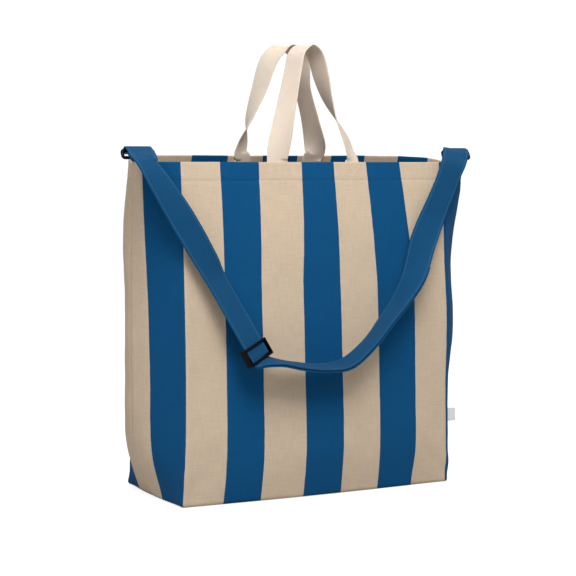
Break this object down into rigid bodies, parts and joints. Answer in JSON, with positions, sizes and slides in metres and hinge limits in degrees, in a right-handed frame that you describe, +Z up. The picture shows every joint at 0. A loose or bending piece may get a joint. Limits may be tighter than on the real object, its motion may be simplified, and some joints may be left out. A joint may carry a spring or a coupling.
{
  "type": "striped canvas tote bag",
  "caption": "Wide open-top canvas tote with vertical stripes, twin webbing carry handles and an adjustable shoulder strap on side rings.",
  "frame": {"origin": "centre of the base panel's underside, where the bag stands on a surface", "axes": "+Z up out of the open mouth, -Y towards the front face that carries the hanging shoulder strap, +X to the right seen from the front"},
  "size_m": [0.551, 0.264, 0.6302],
  "materials": {
    "striped_canvas": "heavy cotton canvas with wide vertical yarn-dyed stripes in beige and blue, matt",
    "handle_webbing": "beige woven cotton webbing with a selvedge, matt",
    "strap_canvas": "folded blue cotton canvas with topstitched edges, matt",
    "stitch_thread": "spun polyester sewing thread in beige",
    "ring_metal": "black lacquered steel wire, satin",
    "slider_metal": "black lacquered die-cast tri-glide, satin",
    "label_weave": "white woven satin tape, blank"
  },
  "bodies": {
    "bag": {"front_panel": "striped_canvas", "back_panel": "striped_canvas", "base_panel": "striped_canvas", "left_seam_binding": "strap_canvas", "right_seam_binding": "strap_canvas", "front_hem_stitching": "stitch_thread", "back_hem_stitching": "stitch_thread", "front_handle_left_end": "handle_webbing", "front_handle_right_end": "handle_webbing", "back_handle_left_end": "handle_webbing", "back_handle_right_end": "handle_webbing", "front_handle_left_stitching": "stitch_thread", "front_handle_right_stitching": "stitch_thread", "back_handle_left_stitching": "stitch_thread", "back_handle_right_stitching": "stitch_thread", "left_ring_tab": "strap_canvas", "right_ring_tab": "strap_canvas", "left_ring_tab_stitching": "stitch_thread", "right_ring_tab_stitching": "stitch_thread", "side_label": "label_weave"},
    "front_handle": {"front_handle": "handle_webbing"},
    "back_handle": {"back_handle": "handle_webbing"},
    "left_ring": {"left_ring": "ring_metal"},
    "right_ring": {"right_ring": "ring_metal"},
    "shoulder_strap": {"shoulder_strap": "strap_canvas", "strap_loop_stitching": "stitch_thread", "strap_return_ply": "strap_canvas"},
    "strap_slider": {"strap_slider": "slider_metal", "slider_loop": "strap_canvas"}
  },
  "joints": [
    {"name": "front_handle_fold", "type": "hinge", "parent": "bag", "child": "front_handle", "pos_m": [0, -0.0825, 0.4655], "axis": [1, 0, 0], "range_deg": [0, 150]},
    {"name": "back_handle_fold", "type": "hinge", "parent": "bag", "child": "back_handle", "pos_m": [0, 0.024, 0.4753], "axis": [-1, 0, 0], "range_deg": [0, 140]},
    {"name": "left_ring_swivel", "type": "hinge", "parent": "bag", "child": "left_ring", "pos_m": [-0.2515, -0.056, 0.47], "axis": [-1, 0, 0], "range_deg": [0, 45]},
    {"name": "right_ring_swivel", "type": "hinge", "parent": "bag", "child": "right_ring", "pos_m": [0.2515, -0.056, 0.47], "axis": [-1, 0, 0], "range_deg": [0, 45]},
    {"name": "shoulder_strap_swing", "type": "hinge", "parent": "left_ring", "child": "shoulder_strap", "pos_m": [-0.2515, -0.0515, 0.4797], "axis": [-1, 0, 0], "range_deg": [0, 130]},
    {"name": "slider_slide", "type": "slide", "parent": "shoulder_strap", "child": "strap_slider", "axis": [-0.4351, 0.22, 0.8731], "range_m": [0, 0.045]}
  ],
  "couplings": [
    {"joint": "right_ring_swivel", "follows": "left_ring_swivel", "ratio": 1}
  ]
}
